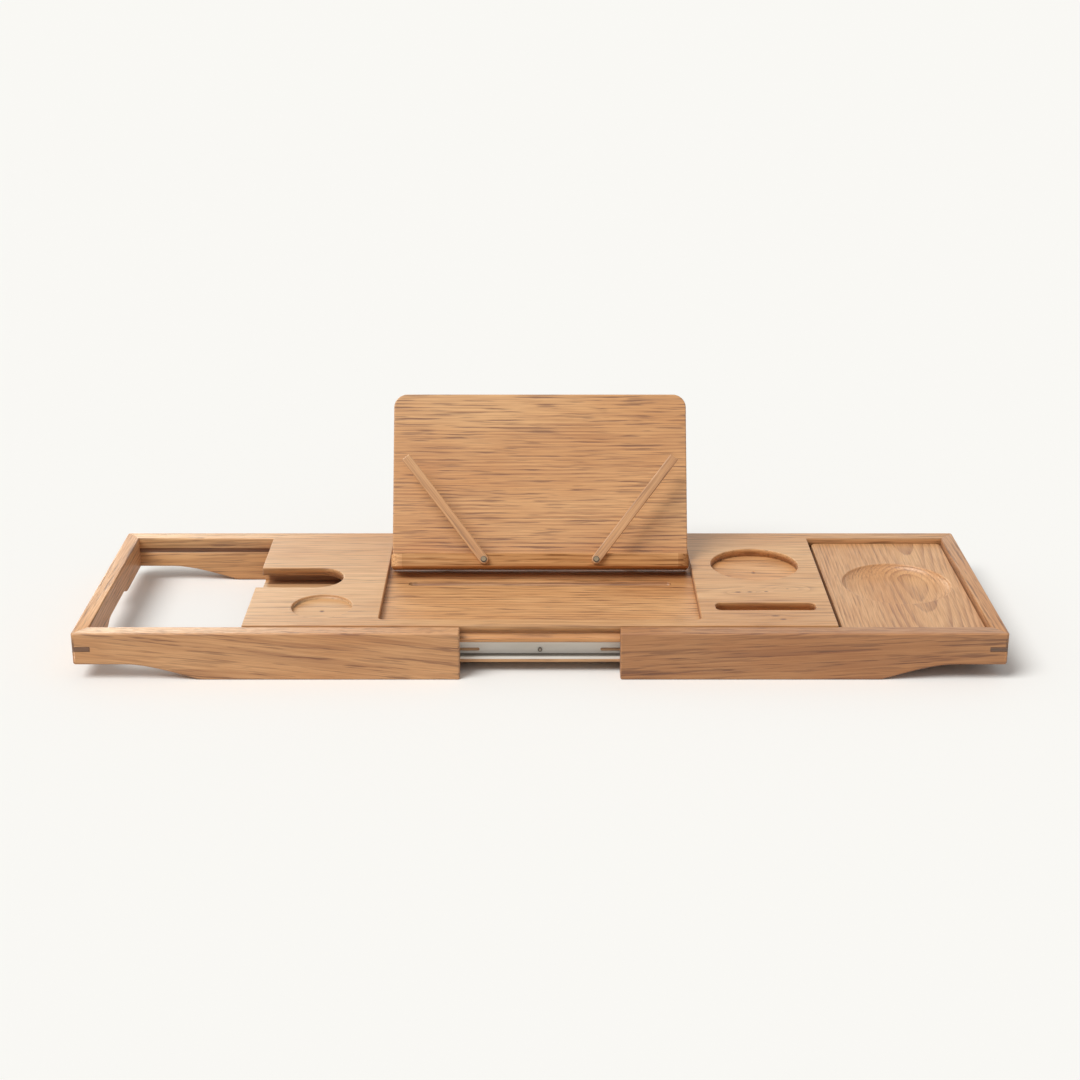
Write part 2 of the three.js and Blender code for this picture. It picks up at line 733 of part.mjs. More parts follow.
// A lug behind the panel takes the top of each leg. A thin foot below the leg joins its cheeks.
function lugGeometry(x) {
  const span = [x - pinHalf, x + pinHalf];
  const reach = hingeBehindPanel + legThickness / 2;
  const low = hingeAlongPanel - cheekDepth / 2 - lugFoot;
  const body = block(span, [seatGap, reach], [low, hingeAlongPanel + cheekDepth / 2]);
  const across = [x - cheekInner, x + cheekInner];
  const above = block(
    across, [-overrun, reach + overrun],
    [hingeAlongPanel - legThickness / 2 - seatGap * 2, hingeAlongPanel + cheekDepth / 2 + overrun]);
  const behind = block(
    across, [seatGap + lugFootThickness, reach + overrun], [low - overrun, hingeAlongPanel]);
  const bore = rod(
    hingePinRadius + seatGap / 2, span[0] - overrun, span[1] + overrun, hingeBehindPanel, hingeAlongPanel);
  return cut(body, above, behind, bore);
}

for (const [word, x] of [['left', -legX], ['right', legX]]) {
  add(stand, `${word}_panel_lug`, lugGeometry(x), darkOak);
  add(stand, `${word}_panel_lug_pin`,
    rod(hingePinRadius, x - pinHalf, x + pinHalf, hingeBehindPanel, hingeAlongPanel), steel);
}

// Page arms turn on screws in the ledge's face
function armGeometry() {
  const radius = armWidth / 2;
  const outline = new THREE.Shape();
  outline.absarc(0, 0, radius, Math.PI, Math.PI * 2);
  outline.lineTo(radius, armReach);
  outline.lineTo(-radius, armReach);
  const hole = new THREE.CylinderGeometry(
    armScrew.shank + seatGap, armScrew.shank + seatGap, armThickness + overrun * 2, screwSides)
    .translate(0, -armThickness / 2, 0);
  return cut(fromFront(outline, -armThickness, 0, cornerSteps), hole);
}

function addArm(word, x, lean, place) {
  const arm = add(stand, `${word}_page_arm`, armGeometry(), oak);
  arm.position.set(x, -ledgeFront - seatGap, ledgeHeight / 2);
  arm.rotation.y = lean;
  add(stand, `${word}_arm_screw`, screw(armScrew, backward, place), brass);
  add(stand, `${word}_arm_washer`, washerGeometry(x), steel);
}

function washerGeometry(x) {
  const radius = armScrew.shank + seatGap;
  const profile = [
    [radius, 0], [washerRadius, 0], [washerRadius, washerThickness], [radius, washerThickness], [radius, 0],
  ];
  return new THREE.LatheGeometry(profile.map(([r, y]) => new THREE.Vector2(r, y)), curveSteps)
    .translate(x, -ledgeFront - seatGap * 2 - armThickness - washerThickness, ledgeHeight / 2);
}

addArm('left', -armX, -armLean, armScrewPlaces[0]);
addArm('right', armX, armLean, armScrewPlaces[1]);

export default part;
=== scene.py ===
# Bath caddy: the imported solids, dressed in oak and steel on a pale studio floor
import json
import math
from fnmatch import fnmatch

import bmesh
import bpy
from mathutils import Matrix, Vector


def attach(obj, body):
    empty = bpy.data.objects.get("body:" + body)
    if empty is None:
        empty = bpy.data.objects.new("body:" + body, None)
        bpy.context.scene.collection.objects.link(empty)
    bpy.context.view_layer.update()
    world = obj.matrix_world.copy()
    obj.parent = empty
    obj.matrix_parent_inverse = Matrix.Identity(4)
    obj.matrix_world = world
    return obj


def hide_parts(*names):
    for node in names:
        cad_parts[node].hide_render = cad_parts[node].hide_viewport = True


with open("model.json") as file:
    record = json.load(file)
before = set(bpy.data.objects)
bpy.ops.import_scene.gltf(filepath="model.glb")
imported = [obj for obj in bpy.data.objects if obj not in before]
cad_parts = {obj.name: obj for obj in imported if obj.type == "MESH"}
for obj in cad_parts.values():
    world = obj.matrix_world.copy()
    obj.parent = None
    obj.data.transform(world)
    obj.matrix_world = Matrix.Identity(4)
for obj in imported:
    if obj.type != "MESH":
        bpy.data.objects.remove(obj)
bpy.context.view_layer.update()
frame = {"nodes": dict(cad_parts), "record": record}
nodes = frame["nodes"]
mm = 0.001
print("frame loaded:", len(nodes), "nodes")


# Helpers for colours and shader nodes
def tone(red, green, blue):
    linear = []
    for value in (red, green, blue):
        share = value / 255
        linear.append(share / 12.92 if share <= 0.04045 else ((share + 0.055) / 1.055) ** 2.4)
    return (*linear, 1.0)


def addNode(tree, kind, settings, inputs):
    node = tree.nodes.new(kind)
    for name, value in settings.items():
        setattr(node, name, value)
    for name, value in inputs.items():
        if isinstance(value, bpy.types.NodeSocket):
            tree.links.new(value, node.inputs[name])
        else:
            node.inputs[name].default_value = value
    return node


def addMath(tree, operation, first, second=0.0):
    return addNode(tree, "ShaderNodeMath", {"operation": operation}, {0: first, 1: second}).outputs[0]


def addMapping(tree, vector, scale, location=(0, 0, 0), rotation=(0, 0, 0)):
    inputs = {"Vector": vector, "Scale": scale, "Location": location, "Rotation": rotation}
    return addNode(tree, "ShaderNodeMapping", {}, inputs).outputs["Vector"]


def addNoise(tree, vector, scale, detail):
    inputs = {"Vector": vector, "Scale": scale, "Detail": detail, "Roughness": 0.55}
    return addNode(tree, "ShaderNodeTexNoise", {}, inputs)


def addSpread(tree, value, low, high, start=0.0, end=1.0):
    inputs = {"Value": value, "From Min": low, "From Max": high, "To Min": start, "To Max": end}
    return addNode(tree, "ShaderNodeMapRange", {"clamp": True}, inputs).outputs[0]


def addBlend(tree, share, first, second, way="MIX"):
    settings = {"data_type": "RGBA", "blend_type": way}
    return addNode(tree, "ShaderNodeMix", settings, {0: share, 6: first, 7: second}).outputs[2]


def startMaterial(name):
    material = bpy.data.materials.new(name)
    material.use_nodes = True
    tree = material.node_tree
    shader = tree.nodes["Principled BSDF"]
    place = addNode(tree, "ShaderNodeTexCoord", {}, {}).outputs["Object"]
    return material, tree, shader, place


# Oak, cut from a log whose axis runs along the board, a little off its face.
# A stretch under 1 draws a pattern out along the grain, and a band is the part of a noise that shows.
oakLook = {
    "light": tone(228, 184, 135),
    "middle": tone(210, 157, 104),
    "dark": tone(146, 92, 52),
    "pore": tone(106, 64, 36),
    "ringScale": 84,
    "ringShare": 0.6,
    "lateBand": (0.4, 0.95),
    "lateEnd": (1.0, 0.955),
    "poreShare": 0.75,
    "fibreShare": 0.42,
    "warp": 0.010,
    "wanderScale": 16,
    "wanderDetail": 2.5,
    "fadeScale": 52,
    "slowStretch": 0.16,
    "cloudScale": 15,
    "cloudStretch": 0.3,
    "cloudBand": (0.34, 0.66),
    "fibreScale": 900,
    "fibreStretch": 0.02,
    "fibreBand": (0.4, 0.7),
    "fleckScale": 440,
    "fleckStretch": 0.05,
    "fleckBand": (0.53, 0.64),
    "poresBetweenRings": 0.35,
    "bump": 0.3,
    "bumpDepth": 0.3 * mm,
    "fibreRelief": 0.4,
    "gloss": (0.36, 0.54),
    "glossBand": (0.3, 0.7),
    "sheen": 0.08,
    "sheenSpread": 0.4,
    "mirror": 0.85,
}
noTint = (1, 1, 1)
eyeEdge = (1.5, 0.5)    # a knot's dark eye fades out between these shares of its size


def grainTurn(along, face):
    along = Vector(along).normalized()
    face = Vector(face)
    face = (face - along * face.dot(along)).normalized()
    return Matrix((along, face.cross(along), face)).to_euler()


def addVector(tree, operation, *values):
    inputs = dict(enumerate(values))
    return addNode(tree, "ShaderNodeVectorMath", {"operation": operation}, inputs)


# A knot: the growth rings swell round it, and its eye is dark. With no rise it is a plain dark spot
# of painted shade, as in the centre mark of a turned recess or at the end of a groove.
def addKnotOrShadeDot(tree, place, bent, eyesAndShadeDots, knot):
    scale = (1 / knot["halfLength"], 1 / knot["halfWidth"], 0)
    middle = (-knot["x"] / knot["halfLength"], -knot["y"] / knot["halfWidth"], 0)
    away = addVector(tree, "LENGTH", addMapping(tree, place, scale, middle)).outputs["Value"]
    swell = addMath(tree, "EXPONENT", addMath(tree, "MULTIPLY", addMath(tree, "MULTIPLY", away, away), -1.0))
    lift = addNode(tree, "ShaderNodeCombineXYZ", {}, {2: addMath(tree, "MULTIPLY", swell, knot["rise"])})
    bent = addVector(tree, "ADD", bent, lift.outputs[0]).outputs[0]
    eye = addSpread(tree, away, knot["eye"] * eyeEdge[0], knot["eye"] * eyeEdge[1])
    return bent, addMath(tree, "MAXIMUM", eye, eyesAndShadeDots)


def addTint(tree, colour, tint):
    return addBlend(tree, 1.0, colour, (*tint, 1), "MULTIPLY")


# A patch: a box of the piece that takes another tint, such as painted shade inside a groove.
# Its tint is full in the core and fades out over the rest of the half size.
patchCore = 0.96


def addPatch(tree, place, colour, patch):
    scale = tuple(1 / half for half in patch["half"])
    shift = tuple(-middle * size for middle, size in zip(patch["middle"], scale))
    away = addVector(tree, "ABSOLUTE", addMapping(tree, place, scale, shift)).outputs[0]
    ways = addNode(tree, "ShaderNodeSeparateXYZ", {}, {0: away}).outputs
    far = addMath(tree, "MAXIMUM", addMath(tree, "MAXIMUM", ways["X"], ways["Y"]), ways["Z"])
    inside = addSpread(tree, far, 1.0, patchCore)
    return addBlend(tree, inside, colour, addTint(tree, colour, patch["tint"]))


def oakMaterial(name, board):
    look = {**oakLook, **board.get("changes", {})}
    material, tree, shader, place = startMaterial(name)
    turn = grainTurn(board["along"], board["face"])
    grain = addMapping(tree, place, (1, 1, 1), board["shift"], turn)
    slow = addMapping(tree, grain, (look["slowStretch"], 1, 1))
    wander = addNoise(tree, slow, look["wanderScale"], look["wanderDetail"]).outputs["Color"]
    wander = addVector(tree, "SUBTRACT", wander, (0.5, 0.5, 0.5)).outputs[0]
    bent = addVector(tree, "MULTIPLY_ADD", wander, (look["warp"],) * 3, grain).outputs[0]
    eyesAndShadeDots = 0.0
    for knot in board.get("knotsAndShadeDots", ()):
        bent, eyesAndShadeDots = addKnotOrShadeDot(tree, place, bent, eyesAndShadeDots, knot)
    # Growth rings: dark late wood that starts slowly, ends sharply and fades here and there
    settings = {"wave_type": "RINGS", "rings_direction": "X", "wave_profile": "SAW"}
    inputs = {"Vector": bent, "Scale": look["ringScale"]}
    rings = addNode(tree, "ShaderNodeTexWave", settings, inputs).outputs["Fac"]
    late = addMath(
        tree, "MULTIPLY", addSpread(tree, rings, *look["lateBand"]), addSpread(tree, rings, *look["lateEnd"])
    )
    fade = addSpread(tree, addNoise(tree, slow, look["fadeScale"], 2).outputs["Fac"], *look["cloudBand"])
    late = addMath(tree, "MULTIPLY", late, fade)
    # Pale and darker clouds, fine fibres, and the pores that oak shows between its rings
    cloud = addNoise(tree, addMapping(tree, grain, (look["cloudStretch"], 1, 1)), look["cloudScale"], 3)
    cloud = addSpread(tree, cloud.outputs["Fac"], *look["cloudBand"])
    fibre = addNoise(tree, addMapping(tree, grain, (look["fibreStretch"], 1, 1)), look["fibreScale"], 3)
    fibre = fibre.outputs["Fac"]
    flecks = addNoise(tree, addMapping(tree, grain, (look["fleckStretch"], 1, 1)), look["fleckScale"], 2)
    flecks = addSpread(tree, flecks.outputs["Fac"], *look["fleckBand"])
    nearRings = addSpread(tree, rings, 0.0, 1.0, look["poresBetweenRings"], 1.0)
    pores = addMath(tree, "MULTIPLY", flecks, nearRings)
    colour = addBlend(tree, cloud, look["light"], look["middle"])
    colour = addBlend(tree, addMath(tree, "MULTIPLY", late, look["ringShare"]), colour, look["dark"])
    fibreDark = addSpread(tree, fibre, *look["fibreBand"], 0.0, look["fibreShare"])
    colour = addBlend(tree, fibreDark, colour, look["dark"])
    colour = addBlend(tree, addMath(tree, "MULTIPLY", pores, look["poreShare"]), colour, look["pore"])
    if "knotsAndShadeDots" in board:
        colour = addBlend(tree, eyesAndShadeDots, colour, look["pore"])
    colour = addTint(tree, colour, board.get("tint", noTint))
    for patch in board.get("patches", ()):
        colour = addPatch(tree, place, colour, patch)
    rough = addSpread(tree, fibre, *look["glossBand"], *look["gloss"])
    height = addMath(tree, "SUBTRACT", addMath(tree, "MULTIPLY", fibre, look["fibreRelief"]), pores)
    inputs = {"Strength": look["bump"], "Distance": look["bumpDepth"], "Height": height}
    bump = addNode(tree, "ShaderNodeBump", {}, inputs).outputs["Normal"]
    tree.links.new(colour, shader.inputs["Base Color"])
    tree.links.new(rough, shader.inputs["Roughness"])
    tree.links.new(bump, shader.inputs["Normal"])
    shader.inputs["Sheen Weight"].default_value = look["sheen"]
    shader.inputs["Sheen Roughness"].default_value = look["sheenSpread"]
    shader.inputs["Specular IOR Level"].default_value = look["mirror"]
    return material


# Steel and brass, brushed along their length
metalLook = {
    "brushScale": 2600, "brushStretch": 0.012, "cloudScale": 60, "cloudStretch": 0.3,
    "band": (0.3, 0.7), "bump": 0.12, "bumpDepth": 0.1 * mm,
}
paleSteel = {
    "light": tone(250, 247, 241), "dark": tone(240, 236, 228), "metallic": 0.05, "gloss": (0.4, 0.55),
}
greySteel = {
    "light": tone(104, 96, 88), "dark": tone(84, 77, 70), "metallic": 0.8, "gloss": (0.3, 0.45),
}
metals = {
    "brushed_steel": paleSteel,
    "aged_brass": {
        "light": tone(158, 140, 116), "dark": tone(120, 104, 84), "metallic": 1.0, "gloss": (0.3, 0.45),
    },
    "dark_steel": greySteel,
    # The channel's lower flange carries a dark line of painted shade, where its lip shades it
    "channel_steel": {
        **paleSteel,
        "patches": ({"middle": (0, 0, 0.0147), "half": (1, 0.1156, 0.0007), "tint": (0.3, 0.28, 0.26)},),
    },
    # The channel's screw is dark, with a bright middle
    "screw_steel": {
        **greySteel, "metallic": 0.3,
        "patches": ({"middle": (0, 0, 0.0193), "half": (0.0012, 1, 0.0012), "tint": (4, 4, 4)},),
    },
}


def metalMaterial(name, metal):
    look = metalLook
    material, tree, shader, place = startMaterial(name)
    brushed = addNoise(tree, addMapping(tree, place, (look["brushStretch"], 1, 1)), look["brushScale"], 3)
    brushed = brushed.outputs["Fac"]
    cloud = addNoise(tree, addMapping(tree, place, (look["cloudStretch"], 1, 1)), look["cloudScale"], 2)
    cloud = addSpread(tree, cloud.outputs["Fac"], *look["band"])
    colour = addBlend(tree, cloud, metal["light"], metal["dark"])
    for patch in metal.get("patches", ()):
        colour = addPatch(tree, place, colour, patch)
    inputs = {"Strength": look["bump"], "Distance": look["bumpDepth"], "Height": brushed}
    bump = addNode(tree, "ShaderNodeBump", {}, inputs).outputs["Normal"]
    tree.links.new(colour, shader.inputs["Base Color"])
    tree.links.new(addSpread(tree, brushed, *look["band"], *metal["gloss"]), shader.inputs["Roughness"])
    tree.links.new(bump, shader.inputs["Normal"])
    shader.inputs["Metallic"].default_value = metal["metallic"]
    return material


# Softened edges: a board is copied, the facets of its flat faces are joined, and its outer edges rounded.
# Edges of screw holes, of the mitres and in the board's sharp band stay as they are.
# Turns are in degrees, the gap in millimetres. An edge is small below smallEdge times the rounding.
edgeLook = {
    "sharpTurn": 33, "steps": 3, "smallEdge": 1.6, "tightTurn": 24,
    "mergeGap": 0.06, "flatTurn": 0.6, "faceWeight": 60, "upright": 0.05, "slant": 0.5,
}


def isMitre(face):
    normal = face.normal
    centre = face.calc_center_median()
    upright = abs(normal.z) < edgeLook["upright"]
    slanting = min(abs(normal.x), abs(normal.y)) > edgeLook["slant"]
    return upright and slanting and normal.x * normal.y * centre.x * centre.y < 0


def isMitred(edge, hasMitre):
    return hasMitre and any(isMitre(face) for face in edge.link_faces)


def tightestTurn(edge, sharpEdges, hasMitre):
    turns = []
    for corner in edge.verts:
        along = edge.other_vert(corner).co - corner.co
        others = [other for other in corner.link_edges if other in sharpEdges and other is not edge]
        others = [other for other in others if not isMitred(other, hasMitre)]
        angles = [math.pi - along.angle(other.other_vert(corner).co - corner.co) for other in others]
        turns.append(min(angles) if angles else 0.0)
    return math.degrees(max(turns))


def isRounded(edge, sharpEdges, board, hasMitre):
    low, high = board.get("sharpBand", (0, 0))
    heights = [corner.co.z / mm for corner in edge.verts]
    if not edge.is_convex or (min(heights) > low and max(heights) < high):
        return False
    if isMitred(edge, hasMitre):
        return False
    small = edge.calc_length() < edgeLook["smallEdge"] * board["edge"]
    return not (small and tightestTurn(edge, sharpEdges, hasMitre) > edgeLook["tightTurn"])


def softened(nodeName, board, body):
    shape = bmesh.new()
    shape.from_mesh(nodes[nodeName].data)
    bmesh.ops.remove_doubles(shape, verts=shape.verts, dist=edgeLook["mergeGap"] * mm)
    flat = math.radians(edgeLook["flatTurn"])
    bmesh.ops.dissolve_limit(shape, angle_limit=flat, verts=shape.verts, edges=shape.edges)
    shape.normal_update()
    limit = math.radians(edgeLook["sharpTurn"])
    sharpEdges = {edge for edge in shape.edges if edge.is_manifold and edge.calc_face_angle(0.0) > limit}
    hasMitre = nodeName.endswith(("rail", "end_bar"))
    rounded = [edge for edge in sharpEdges if isRounded(edge, sharpEdges, board, hasMitre)]
    bmesh.ops.bevel(
        shape, geom=rounded, offset=board["edge"], offset_type="OFFSET", segments=edgeLook["steps"],
        profile=0.5, affect="EDGES", clamp_overlap=False, miter_outer="ARC"
    )
    for face in shape.faces:
        face.smooth = True
    mesh = bpy.data.meshes.new(nodeName + "_oak")
    shape.to_mesh(mesh)
    shape.free()
    piece = bpy.data.objects.new(nodeName + "_oak", mesh)
    bpy.context.scene.collection.objects.link(piece)
    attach(piece, body)
    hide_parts(nodeName)
    shade = piece.modifiers.new("evenShade", "WEIGHTED_NORMAL")
    shade.weight = edgeLook["faceWeight"]
    return piece


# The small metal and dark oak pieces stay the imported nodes, with a little bevel on their edges
smallLook = {
    "mergeGap": 0.02, "sharpTurn": 34, "steps": 2, "edge": 0.2 * mm,
    "edges": {"key": 0.3 * mm, "hinge": 0.5 * mm, "lug": 0.6 * mm, "channel": 0.3 * mm, "runner": 0.3 * mm},
}


def softenEdges(node, width):
    for polygon in node.data.polygons:
        polygon.use_smooth = True
    weld = node.modifiers.new("joinCorners", "WELD")
    weld.merge_threshold = smallLook["mergeGap"] * mm
    flatten = node.modifiers.new("joinFacets", "DECIMATE")
    flatten.decimate_type = "DISSOLVE"
    flatten.angle_limit = math.radians(edgeLook["flatTurn"])
    bevel = node.modifiers.new("softEdges", "BEVEL")
    bevel.width = width
    bevel.segments = smallLook["steps"]
    bevel.limit_method = "ANGLE"
    bevel.angle_limit = math.radians(smallLook["sharpTurn"])
    shade = node.modifiers.new("evenShade", "WEIGHTED_NORMAL")
    shade.keep_sharp = False
    shade.weight = edgeLook["faceWeight"]


def giveMaterial(node, material):
    node.data.materials.clear()
    node.data.materials.append(material)


# Where each board lies in its log: the grain's direction, the face that shows most and a shift; each also
# gets a tint.
# Edges are rounded by "edge", except in the sharp band of heights, in millimetres.
standTilt = math.radians(28)
armLean = math.radians(37.3)
panelUp = Vector((0, math.sin(standTilt), math.cos(standTilt)))
panelFace = Vector((0, -math.cos(standTilt), math.sin(standTilt)))
alongX = (1, 0, 0)
top = (0, 0, 1)
front = (0, -1, 0)
frameCuts = (27, 37.5)
smooth = {"ringShare": 0.5, "poreShare": 0.45}
lively = {"ringShare": 0.8, "poreShare": 0.9, "fibreShare": 0.55}
# Painted shade: a darker tint for the insides of grooves and undercuts, where shade falls
paintedShadeTint = (0.5, 0.42, 0.38)
# A tint is partly the board's own tone and partly painted light: boards at the left are made lighter and
# those at the right darker, as if lit from the left.
boards = {
    "left_front_rail": {
        "along": (1, 0, -0.1), "face": front, "shift": (0.1, 0.03, 0.03), "tint": (1.0, 0.89, 0.8),
        "edge": 1.6 * mm, "sharpBand": frameCuts,
    },
    "left_back_rail": {
        "along": (1, 0, 0.03), "face": front, "shift": (0.3, 0.02, 0.05), "tint": (1.05, 0.99, 0.9),
        "edge": 1.6 * mm, "sharpBand": frameCuts,
        # The patch is painted shade inside the groove along the rail's inner face.
        "patches": ({"middle": (-0.26, 0.1235, 0.0332), "half": (0.2, 0.0035, 0.0029), "tint": paintedShadeTint},),
    },
    "right_front_rail": {
        "along": (1, 0, 0.05), "face": front, "shift": (0.7, -0.04, 0.0), "tint": (0.74, 0.59, 0.47),
        "edge": 1.6 * mm, "sharpBand": frameCuts,
    },
    "right_back_rail": {
        "along": (1, 0, 0.02), "face": front, "shift": (1.3, -0.06, 0.04), "tint": (0.9, 0.81, 0.72),
        "edge": 1.6 * mm, "sharpBand": frameCuts,
        # The patch is painted shade inside the groove along the rail's inner face.
        "patches": ({"middle": (0.26, 0.1235, 0.0332), "half": (0.2, 0.0035, 0.0029), "tint": paintedShadeTint},),
    },
    "left_end_bar": {
        "along": (0.02, 1, 0), "face": (1, 0, 0), "shift": (0.4, 0.04, 0.45), "tint": (1.14, 1.0, 0.87),
        "edge": 1.5 * mm, "sharpBand": frameCuts,
    },
    "right_end_bar": {
        "along": (-0.02, 1, 0), "face": (-1, 0, 0), "shift": (0.9, 0.03, 0.47), "tint": (0.8, 0.66, 0.53),
        "edge": 1.5 * mm, "sharpBand": frameCuts,
    },
    "tray_top_board": {
        "along": (1, 0.012, 0), "face": top, "shift": (0.2, 0.03, 0.06), "tint": (0.98, 0.92, 0.82),
        "edge": 0.9 * mm, "sharpBand": (0, 40.2), "changes": smooth,
        "knotsAndShadeDots": (
            {"x": 0.193, "y": -0.0345, "halfLength": 0.016, "halfWidth": 0.007, "rise": 0.006, "eye": 0.16},
            {"x": 0.2045, "y": -0.034, "halfLength": 0.009, "halfWidth": 0.005, "rise": 0.005, "eye": 0.24},
            {"x": 0.2205, "y": -0.033, "halfLength": 0.009, "halfWidth": 0.005, "rise": 0.005, "eye": 0.2},
            {"x": 0.242, "y": -0.026, "halfLength": 0.024, "halfWidth": 0.010, "rise": 0.010, "eye": 0.05},
            {"x": 0.2225, "y": -0.0945, "halfLength": 0.012, "halfWidth": 0.004, "rise": 0.003, "eye": 0.3},
            {"x": 0.229, "y": -0.1025, "halfLength": 0.008, "halfWidth": 0.004, "rise": 0.001, "eye": 0.35},
            # The last one is painted shade: a dark dot in the centre mark of the round recess.
            {"x": -0.2086, "y": -0.0725, "halfLength": 0.006, "halfWidth": 0.006, "rise": 0.0, "eye": 0.32},
        ),
    },
    "tray_core_board": {
        "along": (1, -0.012, 0), "face": top, "shift": (1.7, -0.05, 0.09), "tint": (1.08, 1.0, 0.87),
        "edge": 0.4 * mm, "changes": lively,
        # Both are painted shade: a dark dot in a recess's centre mark, and one at the left end of the tablet
        # groove.
        "knotsAndShadeDots": (
            {"x": 0.2157, "y": 0.037, "halfLength": 0.006, "halfWidth": 0.006, "rise": 0.0, "eye": 0.32},
            {"x": -0.1245, "y": 0.0075, "halfLength": 0.005, "halfWidth": 0.006, "rise": 0.0, "eye": 0.6},
        ),
        # Both patches are painted shade: one on the walls of the tablet groove, one in the hollow under the
        # glass slot.
        "patches": (
            {"middle": (0, 0.0072, 0.035), "half": (0.134, 0.0068, 0.0045), "tint": (0.72, 0.66, 0.62)},
            {"middle": (-0.226, 0.013, 0.0325), "half": (0.05, 0.055, 0.0068), "tint": paintedShadeTint},
        ),
    },
    "glass_shelf": {
        "along": alongX, "face": top, "shift": (2.1, 0.05, 0.07), "edge": 0.6 * mm,
        # The patch is painted shade on the shelf under the glass slot's back lip.
        "patches": ({"middle": (-0.226, 0.06, 0.0263), "half": (0.05, 0.026, 0.006), "tint": paintedShadeTint},),
    },
    "front_apron": {"along": alongX, "face": front, "shift": (2.6, 0.17, 0.02), "edge": 0.4 * mm},
    "back_apron": {"along": alongX, "face": front, "shift": (3.1, -0.17, 0.02), "edge": 0.4 * mm},
    "soap_plate": {
        "along": (0.03, 1, 0.03), "face": top, "shift": (0.5, 0.375, 0.03), "tint": (0.95, 0.87, 0.77),
        "edge": 1.0 * mm, "changes": {"ringScale": 120, "warp": 0.005, "ringShare": 0.75, "poreShare": 0.4},
    },
    "front_plate_strip": {"along": alongX, "face": top, "shift": (3.6, 0.1, 0.02), "edge": 0.4 * mm},
    "back_plate_strip": {"along": alongX, "face": top, "shift": (3.9, 0.1, 0.02), "edge": 0.4 * mm},
    "stand_panel": {
        "along": alongX, "face": panelFace, "shift": (4.2, 0.05, 0.06), "tint": (1.02, 0.94, 0.8),
        "edge": 1.4 * mm, "changes": lively,
    },
    "stand_ledge": {
        "along": alongX, "face": panelFace, "shift": (4.6, 0.0, 0.04), "tint": (0.96, 0.91, 0.87),
        "edge": 1.4 * mm, "changes": {"mirror": 0.0, "sheen": 0.0},
        # The ends are painted: the left end lightened as if lit from the left, the right end darkened as if
        # in shade.
        "patches": (
            {"middle": (-0.144, 0.03, 0.06), "half": (0.0062, 0.05, 0.05), "tint": (1.2, 1.26, 1.35)},
            {"middle": (0.144, 0.03, 0.06), "half": (0.0062, 0.05, 0.05), "tint": (0.8, 0.74, 0.7)},
        ),
    },
    "left_prop_leg": {"along": top, "face": front, "shift": (5.0, 0.03, 0.14), "edge": 0.8 * mm},
    "right_prop_leg": {"along": top, "face": front, "shift": (5.3, 0.03, 0.05), "edge": 0.8 * mm},
    "prop_crossbar": {"along": alongX, "face": front, "shift": (5.6, 0.03, 0.04), "edge": 0.8 * mm},
    "left_page_arm": {
        "along": panelUp * math.cos(armLean) - Vector(alongX) * math.sin(armLean), "face": panelFace,
        "shift": (5.9, 0.02, 0.03), "tint": (0.92, 0.83, 0.72), "edge": 0.9 * mm, "changes": smooth,
    },
    "right_page_arm": {
        "along": panelUp * math.cos(armLean) + Vector(alongX) * math.sin(armLean), "face": panelFace,
        "shift": (6.3, 0.02, 0.03), "tint": (0.84, 0.73, 0.62), "edge": 0.9 * mm, "changes": smooth,
    },
}
bodyOf = {}
for body, members in frame["record"]["behaviour"]["bodies"].items():
    for member in members:
        bodyOf[member] = body
for nodeName, board in boards.items():
    finish = oakMaterial("oak_" + nodeName, board)
    giveMaterial(softened(nodeName, board, bodyOf[nodeName]), finish)
print("oak boards done:", len(boards))

darkLook = {
    "light": tone(138, 96, 64),
    "middle": tone(118, 80, 52),
    "dark": tone(84, 55, 36),
    "pore": tone(58, 38, 26),
}
darkBoard = {"along": alongX, "face": front, "shift": (0.3, 0.12, 0.02), "changes": darkLook}
finishes = {name: metalMaterial(name, metal) for name, metal in metals.items()}
finishes["dark_oak"] = oakMaterial("dark_oak", darkBoard)
# The first line with a pattern that fits a node's name gives its finish
finishOf = (
    (("*_key", "*_hinge", "*_lug"), "dark_oak"),
    (("shelf_screw_*", "ledge_screw_*", "*_arm_screw"), "aged_brass"),
    (("*_arm_washer",), "dark_steel"),
    (("*_channel",), "channel_steel"),
    (("*_channel_screw",), "screw_steel"),
    (("*",), "brushed_steel"),
)
for nodeName, node in nodes.items():
    if nodeName in boards:
        continue
    finish = next(name for patterns, name in finishOf if any(fnmatch(nodeName, text) for text in patterns))
    giveMaterial(node, finishes[finish])
    widths = smallLook["edges"]
    softenEdges(node, next((widths[word] for word in widths if nodeName.endswith(word)), smallLook["edge"]))
print("metal and dark oak done")


# Pale floor, plain light from the upper left, a soft sheen from the back left, and the camera
paleTone = tone(250, 249, 245)
stageLook = {
    "floorHalf": 16.0, "floorRough": 0.9, "skyStrength": 0.42, "sunPower": 2.23, "sunAngle": 34,
    "sunFrom": (-0.6, -0.42, 1), "bounce": (205, 196, 184),
}
floorMesh = bpy.data.meshes.new("floor")
half = stageLook["floorHalf"]
corners = [(-half, -half, 0), (half, -half, 0), (half, half, 0), (-half, half, 0)]
floorMesh.from_pydata(corners, [], [(0, 1, 2, 3)])
floor = bpy.data.objects.new("floor", floorMesh)
bpy.context.scene.collection.objects.link(floor)
floorMaterial, floorTree, floorShader = startMaterial("pale_floor")[:3]
floorRays = addNode(floorTree, "ShaderNodeLightPath", {}, {}).outputs
seenFloor = addMath(floorTree, "MAXIMUM", floorRays["Is Camera Ray"], floorRays["Is Glossy Ray"])
floorColour = addBlend(floorTree, seenFloor, tone(*stageLook["bounce"]), paleTone)
floorTree.links.new(floorColour, floorShader.inputs["Base Color"])
floorShader.inputs["Roughness"].default_value = stageLook["floorRough"]
floorShader.inputs["Specular IOR Level"].default_value = 0.0
floorMesh.materials.append(floorMaterial)

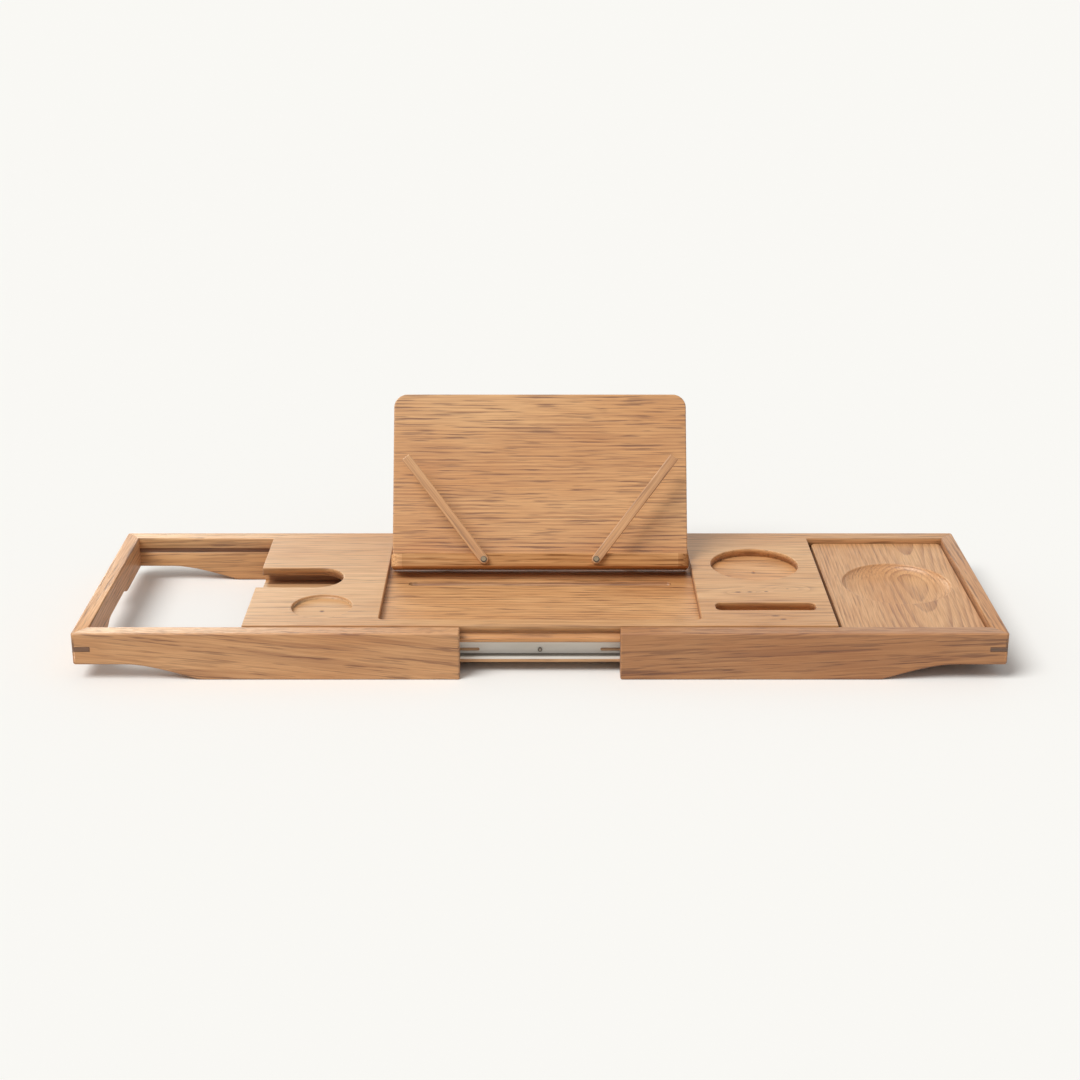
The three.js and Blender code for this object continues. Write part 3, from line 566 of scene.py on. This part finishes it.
world = bpy.data.worlds.new("studio")
bpy.context.scene.world = world
world.use_nodes = True
sky = world.node_tree
sky.nodes.clear()
rays = addNode(sky, "ShaderNodeLightPath", {}, {})
seen = addMath(sky, "MAXIMUM", rays.outputs["Is Camera Ray"], rays.outputs["Is Glossy Ray"])
seen = addMath(sky, "MAXIMUM", seen, rays.outputs["Is Transmission Ray"])
strength = addSpread(sky, seen, 0.0, 1.0, stageLook["skyStrength"], 1.0)
skyColour = addBlend(sky, seen, (1, 1, 1, 1), paleTone)
background = addNode(sky, "ShaderNodeBackground", {}, {"Color": skyColour, "Strength": strength})
addNode(sky, "ShaderNodeOutputWorld", {}, {"Surface": background.outputs[0]})

sunLight = bpy.data.lights.new("keyLight", "SUN")
sunLight.energy = stageLook["sunPower"]
sunLight.angle = math.radians(stageLook["sunAngle"])
sun = bpy.data.objects.new("keyLight", sunLight)
sun.rotation_euler = Vector(stageLook["sunFrom"]).to_track_quat("Z", "Y").to_euler()
bpy.context.scene.collection.objects.link(sun)

softLook = {
    "place": (-1.3, 2.1, 1.0), "aim": (-0.35, 0, 0), "length": 1.3, "height": 0.8,
    "power": 19, "colour": (1, 0.96, 0.8),
}
softLight = bpy.data.lights.new("softLight", "AREA")
softLight.shape = "RECTANGLE"
softLight.size = softLook["length"]
softLight.size_y = softLook["height"]
softLight.energy = softLook["power"]
softLight.color = softLook["colour"]
soft = bpy.data.objects.new("softLight", softLight)
soft.location = softLook["place"]
soft.rotation_euler = (soft.location - Vector(softLook["aim"])).to_track_quat("Z", "Y").to_euler()
soft.visible_camera = False
soft.visible_diffuse = False
bpy.context.scene.collection.objects.link(soft)

cameraLook = {"place": (0, -1.7638, 0.7474), "pitch": 20.47, "lens": 63.81}
cameraData = bpy.data.cameras.new("camera")
cameraData.sensor_width = 36
cameraData.lens = cameraLook["lens"]
camera = bpy.data.objects.new("camera", cameraData)
camera.location = cameraLook["place"]
camera.rotation_euler = (math.radians(90 - cameraLook["pitch"]), 0, 0)
bpy.context.scene.collection.objects.link(camera)
bpy.context.scene.camera = camera
bpy.context.scene.view_settings.view_transform = "Standard"
print("stage, light and camera done")
